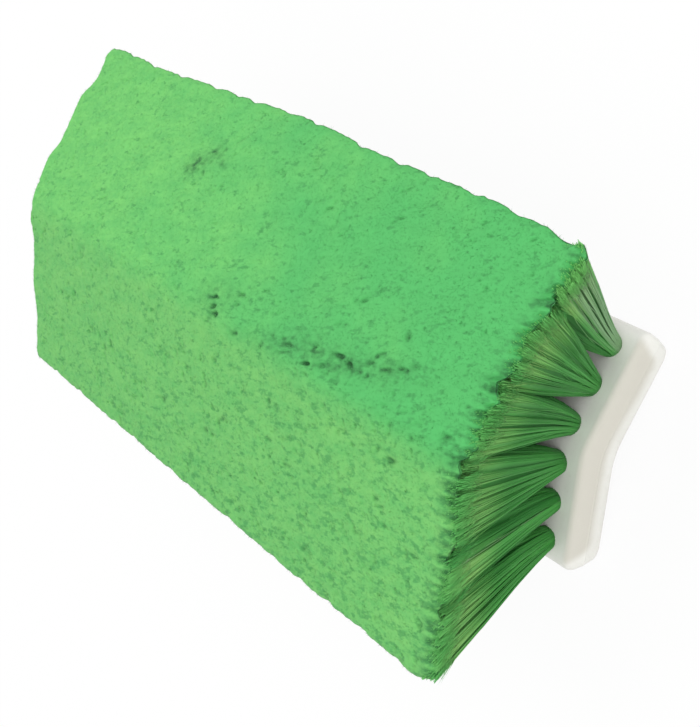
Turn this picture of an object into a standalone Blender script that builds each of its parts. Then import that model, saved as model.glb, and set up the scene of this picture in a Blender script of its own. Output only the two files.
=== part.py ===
"""A bi-level block scrub brush head, bristles up, resting on the two long feet of its block.

The block is a shallow roof in section: two wings that fall away from a middle ridge. Three rows of tufts
stand in each wing, each tuft folded over a wire anchor in a drilled hole, and all are trimmed parallel to
the wings. A socket for a pole opens in the hollow back, and two tufts are left out over it.
Metres, +Z up. X runs along the block, Y across it, and the origin is under the middle, between the feet.
"""

import math

import bmesh
import bpy
from mathutils import Vector

# The block
BLOCK_LENGTH = 0.254
FRONT_WIDTH = 0.090
BACK_WIDTH = 0.075
FOOT_WIDTH = 0.0040
WING_ANGLE = math.radians(14.0)
WING_THICKNESS = 0.016
BACK_BEND_RADIUS = 0.025
BACK_BEND_STEPS = 5
EDGE_RADIUS = 0.003
FOOT_RADIUS = 0.0018
END_BEVEL = 0.0016
CORNER_STEPS = 3
FOOT_STEPS = 2
END_BEVEL_STEPS = 2

# The pole socket in the back
SOCKET_RADIUS = 0.0096
SOCKET_WALL = 0.0090
SOCKET_ROOF = 0.0015
SOCKET_MOUTH_BEVEL = 0.0016
BOSS_RECESS = 0.0010
ROUND_STEPS = 28

# The tufts and their holes
ROWS_PER_WING = 3
COLUMNS = 17
END_MARGIN = 0.0110
SIDE_MARGIN = 0.0099
HOLE_RADIUS = 0.0035
HOLE_FLOOR = 0.0045
HOLE_SIDES = 6
ANCHOR_DROP = 0.0008
ANCHOR_WIDTH = 0.0044
ANCHOR_THICKNESS = 0.0006
FIT_GAP = 0.0003

# The slice of the block's face that joins the strands of one row
SLICE_THICKNESS = 0.0020
SLICE_RIM = 0.0044

# The bristles, four three-sided strands to a tuft
TRIM_LENGTH = 0.066
END_FLARE = 0.0175
SIDE_FLARE = 0.025
END_FLARE_POWER = 4
END_BELLY = 0.004
SIDE_BELLY = 0.0025
TUFT_FOOT_WIDTH = 0.0072
STRAND_TIP_GAP = 0.0010

# How far shapes that are fused or cut run into each other
SINK = 0.0008

# What follows from them
TAN = math.tan(WING_ANGLE)
COS = math.cos(WING_ANGLE)
SIN = math.sin(WING_ANGLE)
FOOT_INNER = BACK_WIDTH / 2 - FOOT_WIDTH
BACK_RIDGE = FOOT_INNER * TAN
FRONT_RIDGE = BACK_RIDGE + WING_THICKNESS / COS
WING_WIDTH = FRONT_WIDTH / 2 / COS
ROW_PITCH = (WING_WIDTH - SIDE_MARGIN) / (ROWS_PER_WING - 0.5)
COLUMN_PITCH = (BLOCK_LENGTH - 2 * END_MARGIN) / (COLUMNS - 1)
HOLE_DEPTH = WING_THICKNESS - HOLE_FLOOR
POCKET_DEPTH = SLICE_THICKNESS + FIT_GAP
SOCKET_TOP = FRONT_RIDGE - POCKET_DEPTH / COS - SOCKET_RADIUS * TAN - SOCKET_ROOF
BOSS_RADIUS = SOCKET_RADIUS + SOCKET_WALL
TIP_RIDGE = FRONT_RIDGE + TRIM_LENGTH / COS


def plastic(name, colour, roughness):
    """A Principled plastic."""
    material = bpy.data.materials.new(name)
    material.use_nodes = True
    shader = material.node_tree.nodes["Principled BSDF"]
    shader.inputs["Base Color"].default_value = (*colour, 1.0)
    shader.inputs["Roughness"].default_value = roughness
    shader.inputs["Metallic"].default_value = 0.0
    return material


def add_object(name, mesh, material=None):
    """Links an object; without a material it is a cutter or another helper, which no render shows."""
    obj = bpy.data.objects.new(name, mesh)
    bpy.context.scene.collection.objects.link(obj)
    if material:
        mesh.materials.append(material)
    else:
        obj.hide_render = True
        obj.display_type = "WIRE"
    return obj


def mesh_from(name, form):
    """Ends a bmesh: outward normals, then a mesh."""
    bmesh.ops.recalc_face_normals(form, faces=form.faces)
    mesh = bpy.data.meshes.new(name)
    form.to_mesh(mesh)
    form.free()
    return mesh


def boolean(obj, other, operation):
    """Joins another object's mesh to this one, or cuts it away."""
    modifier = obj.modifiers.new(other.name, "BOOLEAN")
    modifier.operation = operation
    modifier.solver = "EXACT"
    modifier.object = other


def extrude_section(form, outline, low_x, high_x):
    """A closed prism along X from points (y, z), and its two end faces."""
    ring = [form.verts.new((low_x, y, z)) for y, z in outline]
    far = [form.verts.new((high_x, y, z)) for y, z in outline]
    ends = [form.faces.new(ring), form.faces.new(far)]
    for i in range(len(ring)):
        j = (i + 1) % len(ring)
        form.faces.new((ring[i], ring[j], far[j], far[i]))
    return ends


def add_frustum(form, low_corners, high_corners):
    """A closed frustum between two rings of corners."""
    low = [form.verts.new(corner) for corner in low_corners]
    high = [form.verts.new(corner) for corner in high_corners]
    form.faces.new(low)
    form.faces.new(high)
    for i in range(len(low)):
        j = (i + 1) % len(low)
        form.faces.new((low[i], low[j], high[j], high[i]))


def rounded(before, corner, after, radius, room, steps):
    """The points of an arc that rounds a corner of a section. Its radius shrinks where the arc would start
    further than this room from the corner."""
    corner = Vector(corner)
    to_before = (Vector(before) - corner).normalized()
    to_after = (Vector(after) - corner).normalized()
    half = to_before.angle(to_after) / 2
    radius = min(radius, room * math.tan(half))
    centre = corner + (to_before + to_after).normalized() * (radius / math.sin(half))
    start = corner + to_before * (radius / math.tan(half)) - centre
    end = corner + to_after * (radius / math.tan(half)) - centre
    turn = start.angle(end)
    points = []
    for k in range(steps + 1):
        share = k / steps
        spoke = start * math.sin((1 - share) * turn) + end * math.sin(share * turn)
        points.append(tuple(centre + spoke / math.sin(turn)))
    return points


def on_wing(side, along, depth=0.0):
    """(y, z) of a point of a wing: so far along its face from the ridge, and so deep under it. Side is 1 for
    the wing at +Y, or -1."""
    return (side * (along * COS - depth * SIN), FRONT_RIDGE - along * SIN - depth * COS)


def wing_across(side):
    """The direction along a wing's face, away from the ridge."""
    return Vector((0.0, side * COS, -SIN))


def block_outline():
    """The block's section: feet flat on the ground, sides that open upwards, and wings that fall from the
    ridge."""
    foot_out = (BACK_WIDTH / 2, 0.0)
    edge = on_wing(1, WING_WIDTH)
    foot_in = (FOOT_INNER, 0.0)
    back = (0.0, BACK_RIDGE)
    half = [(0.0, FRONT_RIDGE)]
    half += rounded((0.0, FRONT_RIDGE), edge, foot_out, EDGE_RADIUS, SLICE_RIM - FIT_GAP, CORNER_STEPS)
    half += rounded(edge, foot_out, foot_in, FOOT_RADIUS, FOOT_WIDTH / 2, FOOT_STEPS)
    half.append(foot_in)
    bend = rounded(foot_in, back, (-FOOT_INNER, 0.0), BACK_BEND_RADIUS, FOOT_INNER / 2, BACK_BEND_STEPS)
    mirrored = [(-y, z) for y, z in reversed(half[1:])]
    return half + bend + mirrored


def tuft_places():
    """Each tuft as (row, side, distance along the wing, x). A tuft whose hole would meet the pole's socket is
    left out."""
    places = []
    for row in range(2 * ROWS_PER_WING):
        side = 1 if row < ROWS_PER_WING else -1
        step = ROWS_PER_WING - row - 0.5 if side > 0 else row - ROWS_PER_WING + 0.5
        along = step * ROW_PITCH
        floor_y, floor_z = on_wing(side, along, HOLE_DEPTH)
        for column in range(COLUMNS):
            x = column * COLUMN_PITCH - (BLOCK_LENGTH / 2 - END_MARGIN)
            away = math.hypot(x, floor_y)
            if floor_z > SOCKET_TOP + FIT_GAP or away > SOCKET_RADIUS + HOLE_RADIUS + FIT_GAP:
                places.append((row, side, along, x))
    return places


def cell_of(x, neighbours):
    """The stretch along the row that a tuft's tips fill: half way to the next tufts, however far they are."""
    before = [other for other in neighbours if other < x]
    after = [other for other in neighbours if other > x]
    low = (x + max(before)) / 2 if before else x - COLUMN_PITCH / 2
    high = (x + min(after)) / 2 if after else x + COLUMN_PITCH / 2
    return low, high


def polygon_offsets(first, second, radius, sides):
    """The corners of a regular polygon in the plane of two directions."""
    turn = 2 * math.pi / sides
    return [
        first * (radius * math.cos(k * turn)) + second * (radius * math.sin(k * turn))
        for k in range(sides)
    ]


def trimmed_at(along, side, x):
    """Where a bristle that would leave the face at this place is trimmed. Across the brush the tips spread
    evenly out to the side flare; along it they stand straight in the middle and lean out towards the ends.
    Both flares are a little fuller in the middle of their edge than at the corners."""
    across = along / (ROWS_PER_WING * ROW_PITCH)
    last = COLUMNS / 2 * COLUMN_PITCH
    lengthwise = abs(x) / last
    y = side * across * (FRONT_WIDTH / 2 + SIDE_FLARE + SIDE_BELLY * (1 - lengthwise**2))
    lean = BLOCK_LENGTH / 2 + END_FLARE + END_BELLY * (1 - across**2) - last
    x += math.copysign(lean * lengthwise**END_FLARE_POWER, x)
    return Vector((x, y, TIP_RIDGE - abs(y) * TAN))


def drawn_in(triangle, distance):
    """A triangle with each side moved this far towards its middle."""
    sides = [(triangle[(i + 1) % 3] - triangle[(i + 2) % 3]).length for i in range(3)]
    middle = sum((triangle[i] * sides[i] for i in range(3)), Vector()) / sum(sides)
    inner_radius = (triangle[1] - triangle[0]).cross(triangle[2] - triangle[0]).length / sum(sides)
    return [middle.lerp(corner, 1 - distance / inner_radius) for corner in triangle]


def row_slice(row):
    """One row's strip of the block's face."""
    side = 1 if row < ROWS_PER_WING else -1
    rank = ROWS_PER_WING - 1 - row if side > 0 else row - ROWS_PER_WING
    inner = rank * ROW_PITCH + FIT_GAP / 2
    outer = (rank + 1) * ROW_PITCH - FIT_GAP / 2
    if rank == ROWS_PER_WING - 1:
        outer = WING_WIDTH - SLICE_RIM - FIT_GAP
    outline = [on_wing(side, outer), on_wing(side, outer, SLICE_THICKNESS)]
    if rank == 0:
        y = side * FIT_GAP / 2
        outline.append((y, FRONT_RIDGE - SLICE_THICKNESS / COS - abs(y) * TAN))
        outline.append((y, FRONT_RIDGE - abs(y) * TAN))
    else:
        outline += [on_wing(side, inner, SLICE_THICKNESS), on_wing(side, inner)]
    form = bmesh.new()
    half = BLOCK_LENGTH / 2 - SLICE_RIM - FIT_GAP
    extrude_section(form, outline, -half, half)
    return form


def add_strands(form, side, along, x, cell):
    """One tuft above the face. Its cell of the trim is cut along the diagonals into the tips of four strands,
    and each strand narrows in proportion to its foot over the hole."""
    inner, outer = along - ROW_PITCH / 2, along + ROW_PITCH / 2
    around = ((inner, cell[0]), (outer, cell[0]), (outer, cell[1]), (inner, cell[1]))
    corners = [trimmed_at(a, side, b) for a, b in around]
    middle = sum(corners, Vector()) / 4
    foot = Vector((x, *on_wing(side, along, SINK)))
    share = TUFT_FOOT_WIDTH / (corners[1] - corners[0]).length
    for k in range(4):
        tip = drawn_in([middle, corners[k], corners[(k + 1) % 4]], STRAND_TIP_GAP / 2)
        add_frustum(form, [foot + (corner - middle) * share for corner in tip], tip)


def add_root(form, side, along, x, _cell):
    """One tuft inside its hole: the folded bundle, which fills the hole but for the clearance."""
    x_way, across = Vector((1.0, 0.0, 0.0)), wing_across(side)
    radius = HOLE_RADIUS - FIT_GAP / math.cos(math.pi / HOLE_SIDES)
    corners = polygon_offsets(x_way, across, radius, HOLE_SIDES)
    top = Vector((x, *on_wing(side, along, SLICE_THICKNESS - SINK)))
    fold = Vector((x, *on_wing(side, along, HOLE_DEPTH - FIT_GAP - ANCHOR_DROP)))
    add_frustum(form, [fold + c for c in corners], [top + c for c in corners])


def add_anchor(form, side, along, x, _cell):
    """The flat wire across the fold of one tuft, on edge at the floor of the hole."""
    half_width, half_thick = ANCHOR_WIDTH / 2, ANCHOR_THICKNESS / 2
    signs = ((-1, -1), (1, -1), (1, 1), (-1, 1))
    floor, inside = HOLE_DEPTH - FIT_GAP, HOLE_DEPTH - FIT_GAP - ANCHOR_DROP - SINK
    low, high = [], []
    for sx, sy in signs:
        low.append(Vector((x + sx * half_thick, *on_wing(side, along + sy * half_width, floor))))
        high.append(Vector((x + sx * half_thick, *on_wing(side, along + sy * half_width, inside))))
    add_frustum(form, low, high)


def make_row(row, places, fibre):
    """One row of tufts: its strands, folded roots and anchors, fused to its slice of the block's face."""
    obj = add_object(f"tuft_row_{row + 1}", mesh_from("row_slice", row_slice(row)), fibre)
    mine = [place[1:] for place in places if place[0] == row]
    taken = [x for _, _, x in mine]
    for label, maker in (("strands", add_strands), ("roots", add_root), ("anchors", add_anchor)):
        form = bmesh.new()
        for side, along, x in mine:
            maker(form, side, along, x, cell_of(x, taken))
        part = add_object(f"{label}_{row + 1}", mesh_from(label, form))
        boolean(obj, part, "UNION")


def add_round(form, low_radius, high_radius, low_z, high_z):
    """An upright frustum on the socket's axis."""
    x_way, y_way = Vector((1.0, 0.0, 0.0)), Vector((0.0, 1.0, 0.0))
    low = polygon_offsets(x_way, y_way, low_radius, ROUND_STEPS)
    high = polygon_offsets(x_way, y_way, high_radius, ROUND_STEPS)
    bottom, top = Vector((0.0, 0.0, low_z)), Vector((0.0, 0.0, high_z))
    add_frustum(form, [bottom + c for c in low], [top + c for c in high])


def make_block(places, foam_plastic):
    """The moulded block, with the socket's boss and bore, the recess for the slices and the drilled holes."""
    form = bmesh.new()
    half = BLOCK_LENGTH / 2
    ends = extrude_section(form, block_outline(), -half, half)
    edges = list({edge for face in ends for edge in face.edges})
    bmesh.ops.bevel(
        form,
        geom=edges,
        offset=END_BEVEL,
        segments=END_BEVEL_STEPS,
        profile=0.5,
        affect="EDGES",
        clamp_overlap=True,
    )
    block = add_object("brush_block", mesh_from("brush_block", form), foam_plastic)

    form = bmesh.new()
    add_round(form, BOSS_RADIUS, BOSS_RADIUS + SINK, BOSS_RECESS, SOCKET_TOP)
    boolean(block, add_object("socket_boss", mesh_from("socket_boss", form)), "UNION")

    form = bmesh.new()
    add_round(form, SOCKET_RADIUS, SOCKET_RADIUS, BOSS_RECESS - SINK, SOCKET_TOP)
    boolean(block, add_object("socket_bore", mesh_from("socket_bore", form)), "DIFFERENCE")

    form = bmesh.new()
    mouth = SOCKET_RADIUS + SOCKET_MOUTH_BEVEL
    inside = BOSS_RECESS + SOCKET_MOUTH_BEVEL
    add_round(form, mouth + SINK, SOCKET_RADIUS - SINK, BOSS_RECESS - SINK, inside + SINK)
    boolean(block, add_object("socket_mouth", mesh_from("socket_mouth", form)), "DIFFERENCE")

    form = bmesh.new()
    reach = WING_WIDTH - SLICE_RIM
    above = -WING_THICKNESS
    outline = [on_wing(1, reach, above), on_wing(1, reach, POCKET_DEPTH)]
    outline += [(0.0, FRONT_RIDGE - POCKET_DEPTH / COS)]
    outline += [on_wing(-1, reach, POCKET_DEPTH), on_wing(-1, reach, above), (0.0, FRONT_RIDGE - above / COS)]
    extrude_section(form, outline, -half + SLICE_RIM, half - SLICE_RIM)
    boolean(block, add_object("slice_recess", mesh_from("slice_recess", form)), "DIFFERENCE")

    form = bmesh.new()
    for _, side, along, x in places:
        corners = polygon_offsets(Vector((1.0, 0.0, 0.0)), wing_across(side), HOLE_RADIUS, HOLE_SIDES)
        top = Vector((x, *on_wing(side, along, POCKET_DEPTH - SINK)))
        floor = Vector((x, *on_wing(side, along, HOLE_DEPTH)))
        add_frustum(form, [floor + c for c in corners], [top + c for c in corners])
    boolean(block, add_object("tuft_holes", mesh_from("tuft_holes", form)), "DIFFERENCE")


def main():
    for obj in list(bpy.data.objects):
        bpy.data.objects.remove(obj)
    foam_plastic = plastic("white_foam_plastic", (0.84, 0.83, 0.79), 0.5)
    fibre = plastic("green_fibre", (0.10, 0.42, 0.12), 0.45)
    places = tuft_places()
    make_block(places, foam_plastic)
    for row in range(2 * ROWS_PER_WING):
        make_row(row, places, fibre)


main()
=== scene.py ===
import math

import bmesh
import bpy
import numpy as np
from mathutils import Matrix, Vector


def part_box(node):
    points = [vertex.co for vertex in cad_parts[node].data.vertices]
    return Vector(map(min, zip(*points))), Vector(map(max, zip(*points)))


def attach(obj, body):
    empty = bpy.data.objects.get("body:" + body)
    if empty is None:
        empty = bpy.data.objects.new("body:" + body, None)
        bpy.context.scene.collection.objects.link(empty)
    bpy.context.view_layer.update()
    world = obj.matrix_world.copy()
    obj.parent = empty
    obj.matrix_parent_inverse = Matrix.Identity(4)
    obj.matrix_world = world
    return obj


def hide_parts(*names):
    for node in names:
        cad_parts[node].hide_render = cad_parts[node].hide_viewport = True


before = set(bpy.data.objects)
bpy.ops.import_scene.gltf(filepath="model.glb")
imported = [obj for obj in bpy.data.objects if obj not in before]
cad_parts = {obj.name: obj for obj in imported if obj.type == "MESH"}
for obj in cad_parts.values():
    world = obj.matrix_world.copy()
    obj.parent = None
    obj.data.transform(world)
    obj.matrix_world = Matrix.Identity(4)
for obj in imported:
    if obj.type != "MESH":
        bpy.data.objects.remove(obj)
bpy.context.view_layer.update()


# The block: one moulding of white foamed plastic, whose two wings fall away from a middle ridge.
# The two halves of its mould meet half way through the wings. That leaves a fine raised line round the
# sides and ends, and a slight draft on either side of it.
MM = 0.001
HALF_LENGTH, HALF_WIDTH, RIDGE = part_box("brush_block")[1]
SLOPE = math.radians(14)
TAN, COS, SIN = math.tan(SLOPE), math.cos(SLOPE), math.sin(SLOPE)
WALL = 16 * MM
FOOT_OUTER = 37.5 * MM
FOOT_WIDTH = 4 * MM
RIDGE_ROUND = 18 * MM
FRONT_ROUND = 4.5 * MM
FOOT_ROUND = 3.8 * MM
INNER_ROUND = 0.9 * MM
BEND_ROUND = 25 * MM
END_ROUND = 2.4 * MM
DRAFT = math.radians(4)
SEAM_SHARE = 0.5
SEAM_HEIGHT = 0.14 * MM
SEAM_WIDTH = 0.45 * MM
CORNER_STEPS = 25
GRID_STEP = 2 * MM
END_TURNS = np.radians([15, 30, 45, 60, 75, 90])
# The shares of a run where its points lie: across a face, and through the wall, closer at the mould line.
ACROSS = np.linspace(0, 1, 61)
THROUGH = np.concatenate([np.linspace(0, 0.44, 8), np.linspace(0.46, 0.54, 9), np.linspace(0.56, 1, 8)])
PLASTIC_CLEAN = (0.905, 0.90, 0.88)
# The beige of the block's half next to the bristles is painted shade.
PLASTIC_PAINTED_SHADE = (0.80, 0.785, 0.745)
PLASTIC_FLOWED = (0.82, 0.805, 0.77)


def unit(vectors):
    """Vectors of the same directions and of length one."""
    return vectors / np.linalg.norm(vectors, axis=-1, keepdims=True)


def rounded_outline(corners, radii, steps):
    """A closed outline as (corner, step, 2). At each corner, an arc of that radius touches both sides."""
    corners, radii = np.array(corners), np.array(radii)[:, None]
    back = unit(np.roll(corners, 1, axis=0) - corners)
    ahead = unit(np.roll(corners, -1, axis=0) - corners)
    half = np.arccos((back * ahead).sum(1))[:, None] / 2
    centre = corners + unit(back + ahead) * radii / np.sin(half)
    start = corners + back * radii / np.tan(half) - centre
    end = corners + ahead * radii / np.tan(half) - centre
    turn = np.pi - 2 * half
    share = np.linspace(0, 1, steps)[None, :, None]
    turn, start, end = turn[:, :, None], start[:, None], end[:, None]
    arc = (start * np.sin((1 - share) * turn) + end * np.sin(share * turn)) / np.sin(turn)
    return centre[:, None] + arc


def resampled(line, shares):
    """Points of a polyline at these shares of its length."""
    step = np.linalg.norm(np.diff(line, axis=0), axis=1)
    length = np.concatenate([[0], np.cumsum(step)])
    return np.stack([np.interp(shares * length[-1], length, column) for column in line.T], axis=1)


def grid_triangles(rows, columns, wrap=False):
    """Two triangles for each cell of a grid of points that are numbered row by row. With wrap, the last
    column joins the first."""
    row = np.arange(rows - 1)[:, None]
    column = np.arange(columns if wrap else columns - 1)[None, :]
    after = (column + 1) % columns
    a, b = row * columns + column, row * columns + after
    c, d = (row + 1) * columns + after, (row + 1) * columns + column
    cells = np.stack([a, b, c, a, c, d], axis=-1)
    return cells.reshape(-1, 3)


def joined(parts):
    """Several (points, triangles) as one."""
    starts = np.cumsum([0] + [len(points) for points, _ in parts[:-1]])
    points = np.concatenate([points for points, _ in parts])
    triangles = np.concatenate([faces + start for (_, faces), start in zip(parts, starts)])
    return points, triangles


def make_piece(name, points, triangles, material, attributes=None):
    """A smooth-shaded object from arrays of points and triangles, with one value of each attribute a point."""
    mesh = bpy.data.meshes.new(name)
    mesh.from_pydata(points, (), triangles, shade_flat=False)
    for label, values in (attributes or {}).items():
        attribute = mesh.attributes.new(label, "FLOAT", "POINT")
        attribute.data.foreach_set("value", np.asarray(values, np.float32).ravel())
    mesh.materials.append(material)
    piece = bpy.data.objects.new(name, mesh)
    bpy.context.scene.collection.objects.link(piece)
    return piece


def block_section():
    """The section in four runs of (y, z) from the middle of one rounded corner to the middle of the next:
    the front from -Y to +Y, the +Y side, the back from +Y to -Y, and the -Y side."""
    edge_z = RIDGE - HALF_WIDTH * TAN
    inner = FOOT_OUTER - FOOT_WIDTH
    half = [(HALF_WIDTH, edge_z), (FOOT_OUTER, 0), (inner, 0)]
    mirrored = [(-y, z) for y, z in reversed(half)]
    corners = [(0, RIDGE), *half, (0, inner * TAN), *mirrored]
    radii = [RIDGE_ROUND, FRONT_ROUND, FOOT_ROUND, INNER_ROUND, BEND_ROUND, INNER_ROUND, FOOT_ROUND, FRONT_ROUND]
    outline = rounded_outline(corners, radii, CORNER_STEPS).reshape(-1, 2)
    twice_round = np.concatenate([outline, outline])
    marks = [corner * CORNER_STEPS + CORNER_STEPS // 2 for corner in (7, 9, 10, 14, 15)]
    return [twice_round[a : b + 1] for a, b in zip(marks[:-1], marks[1:])]


def back_surface():
    """The block without its socket, as ((points, triangles), square, back). The section is carried along X,
    and at each end it draws in along a quarter circle. A surface stretched between the four runs of the last
    ring (the blend of opposite runs, less the blend of the corners) closes the end. The square is the ring
    of points round the opening for the socket, and back is the y and the z of the line across the back."""
    runs = block_section()
    ring = np.concatenate([resampled(*pair)[:-1] for pair in zip(runs, (ACROSS, THROUGH) * 2)])
    flat = np.zeros(len(ACROSS) - 1)
    depth = np.concatenate([flat, THROUGH[:-1], flat + 1, 1 - THROUGH[:-1]])
    tangent = np.roll(ring, -1, axis=0) - np.roll(ring, 1, axis=0)
    normal = unit(np.stack([-tangent[:, 1], tangent[:, 0]], axis=1))

    def seam(share):
        return SEAM_HEIGHT * np.exp(-(((share - SEAM_SHARE) * WALL / SEAM_WIDTH) ** 2) * 2)

    def draft(share):
        return WALL * np.abs(share - SEAM_SHARE) * math.tan(DRAFT)

    straight = HALF_LENGTH - END_ROUND
    count = round(2 * straight / GRID_STEP) // 2 * 2 + 1
    inner_x = np.linspace(-straight, straight, count)
    base_x = np.pad(inner_x, len(END_TURNS), "edge")[:, None]
    turns = np.concatenate([-END_TURNS[::-1], np.zeros(count), END_TURNS])[:, None]
    reach = END_ROUND + seam(depth)[None]
    x = base_x + reach * np.sin(turns) - draft(depth)[None] * base_x / straight
    inward = END_ROUND - reach * np.cos(turns)
    rings = np.concatenate([x[..., None], ring - inward[..., None] * normal], axis=-1)

    n, w = len(ACROSS), len(THROUGH)
    u, v = ACROSS[:, None, None], THROUGH[None, :, None]
    caps = []
    for last, sign in ((rings[-1], 1), (rings[0], -1)):
        closed = np.concatenate([last, last[:1]])
        top, bottom = closed[:n], closed[n + w - 2 : 2 * n + w - 2][::-1]
        right_run, left_run = closed[n - 1 : n + w - 1], closed[2 * n + w - 3 :][::-1]
        corners = (1 - u) * ((1 - v) * top[0] + v * bottom[0]) + u * ((1 - v) * top[-1] + v * bottom[-1])
        cap = (1 - v) * top[:, None] + v * bottom[:, None] + (1 - u) * left_run[None] + u * right_run[None] - corners
        cap[..., 0] = sign * (HALF_LENGTH + seam(THROUGH) - draft(THROUGH))[None]
        cap[0], cap[-1], cap[:, 0], cap[:, -1] = left_run, right_run, top, bottom
        faces = grid_triangles(n, w)
        caps.append((cap.reshape(-1, 3), faces if sign < 0 else faces[:, ::-1]))

    columns = len(ring)
    back_start = n + w - 2
    inside_x = np.abs(inner_x) <= SOCKET_SQUARE
    inside_y = np.abs(ring[back_start : back_start + n, 0]) <= SOCKET_SQUARE
    rows = len(END_TURNS) + np.flatnonzero(inside_x)[[0, -1]]
    cols = back_start + np.flatnonzero(inside_y)[[0, -1]]
    square = np.concatenate([
        rings[rows[0] : rows[1], cols[0]],
        rings[rows[1], cols[0] : cols[1]],
        rings[rows[1] : rows[0] : -1, cols[1]],
        rings[rows[0], cols[1] : cols[0] : -1],
    ])
    faces = grid_triangles(len(rings), columns, wrap=True).reshape(len(rings) - 1, columns, 2, 3)
    kept = np.ones(faces.shape[:2], bool)
    kept[rows[0] : rows[1], cols[0] : cols[1]] = False
    body = (rings.reshape(-1, 3), faces[kept].reshape(-1, 3))
    return joined([body, *caps]), square, resampled(runs[2], np.linspace(1, 0, 400)).T


class Wire:
    """A shader socket in a Python expression. Each operator adds one Math node."""

    def __init__(self, tree, socket):
        self.tree, self.socket = tree, socket

    def math(self, operation, *values):
        node = self.tree.nodes.new("ShaderNodeMath")
        node.operation = operation
        for socket, value in zip(node.inputs, values):
            plug(self.tree, socket, value)
        return Wire(self.tree, node.outputs[0])

    def __add__(self, other):
        return self.math("ADD", self, other)

    def __sub__(self, other):
        return self.math("SUBTRACT", self, other)

    def __rsub__(self, other):
        return self.math("SUBTRACT", other, self)

    def __mul__(self, other):
        return self.math("MULTIPLY", self, other)

    __radd__, __rmul__ = __add__, __mul__

    def __abs__(self):
        return self.math("ABSOLUTE", self)

    def between(self, low, high):
        """0 at low and 1 at high, with a smooth rise."""
        node = self.tree.nodes.new("ShaderNodeMapRange")
        node.interpolation_type = "SMOOTHSTEP"
        plug(self.tree, node.inputs["Value"], self)
        node.inputs["From Min"].default_value = low
        node.inputs["From Max"].default_value = high
        return Wire(self.tree, node.outputs[0])


def plug(tree, socket, value):
    """Gives a socket a link or a value."""
    if isinstance(value, Wire):
        tree.links.new(value.socket, socket)
    else:
        socket.default_value = value


def linear(colour):
    """A colour as it is seen on a screen, turned into the shader's values."""
    seen = np.array(colour)
    return (*np.where(seen <= 0.04045, seen / 12.92, ((seen + 0.055) / 1.055) ** 2.4), 1.0)


class Finish:
    """A material with one Principled shader, and one method that adds any other node."""

    def __init__(self, name, **constants):
        self.material = bpy.data.materials.new(name)
        self.material.use_nodes = True
        self.tree = self.material.node_tree
        self.shader = self.tree.nodes["Principled BSDF"]
        for socket, value in constants.items():
            self.feed(socket.replace("_", " "), value)

    def feed(self, socket, value):
        plug(self.tree, self.shader.inputs[socket], value)

    def node(self, kind, settings=None, sockets=None, output=0):
        """A node of this type, its settings first and then the values or links of its sockets."""
        node = self.tree.nodes.new(kind)
        for key, value in (settings or {}).items():
            setattr(node, key, value)
        for key, value in (sockets or {}).items():
            plug(self.tree, node.inputs[key], value)
        return Wire(self.tree, node.outputs[output])

    def places(self, stretch=1.0, turn=0.0):
        """The object's own coordinates. What is laid on them is drawn out this much along X, and then turned
        this much about Z."""
        place = self.node("ShaderNodeTexCoord", output="Object")
        sockets = {"Vector": place, "Scale": (stretch, 1, 1), "Rotation": (0, 0, turn)}
        return self.node("ShaderNodeMapping", {"vector_type": "TEXTURE"}, sockets)

    def apart(self, vector):
        """The three numbers of a vector."""
        node = self.node("ShaderNodeSeparateXYZ", None, {"Vector": vector}).socket.node
        return [Wire(self.tree, output) for output in node.outputs]

    def noise(self, place, size, detail=2.0, roughness=0.5):
        """Noise from 0 to 1 with lumps of this size in metres."""
        sockets = {"Vector": place, "Scale": 1 / size, "Detail": detail, "Roughness": roughness}
        return self.node("ShaderNodeTexNoise", None, sockets)

    def attribute(self, name):
        """The mesh's own value of this name."""
        return self.node("ShaderNodeAttribute", {"attribute_name": name}, output="Fac")

    def mix(self, share, first, second):
        """A colour between two, each of them a link or a colour as it is seen on a screen."""
        first, second = (colour if isinstance(colour, Wire) else linear(colour) for colour in (first, second))
        return self.node("ShaderNodeMix", {"data_type": "RGBA"}, {0: share, 6: first, 7: second}, 2)


def foam_plastic():
    """White foamed plastic: satin, with the faint flow swirls and shallow pores of a foam moulding. The half next to
    the bristles is a darker beige, which is painted shade, but it keeps the clean white at the sides, and among the
    tufts as painted light against the shade of the fans."""
    finish = Finish("white foam plastic", IOR=1.46)
    place = finish.places()
    x, y, z = finish.apart(place)
    flow = finish.noise(finish.places(3), 16 * MM, 4.0, 0.6)
    grain = finish.noise(place, 1.1 * MM)
    pores = finish.noise(place, 0.5 * MM, 1.0)
    under = (RIDGE - z - abs(y) * TAN) * (COS / WALL)
    side = abs(y).between(0.7 * HALF_WIDTH, HALF_WIDTH)
    end = abs(x).between(HALF_LENGTH - 1.5 * END_ROUND, HALF_LENGTH - END_ROUND / 2)
    # Painted light: away from the ends, the face among the tufts keeps the clean white against the shade of the
    # fans. The beige of the half next to the bristles is painted shade.
    among = (1 - under.between(0.03, 0.1)) * (1 - end)
    tint_and_painted_light = (under + (flow - 0.5) * 0.4 + side * 0.8).between(0.8, 0.45) * (1 - among)
    colour = finish.mix(tint_and_painted_light, PLASTIC_CLEAN, PLASTIC_PAINTED_SHADE)
    colour = finish.mix(flow.between(0.35, 0.8) * 0.3, colour, PLASTIC_FLOWED)
    colour = finish.mix(grain.between(0.62, 0.75) * 0.2, colour, PLASTIC_FLOWED)
    finish.feed("Base Color", colour)
    finish.feed("Roughness", 0.42 + flow * 0.12)
    sockets = {"Height": pores * 0.4 + grain, "Distance": 0.08 * MM, "Strength": 0.6}
    finish.feed("Normal", finish.node("ShaderNodeBump", None, sockets))
    return finish.material


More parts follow.
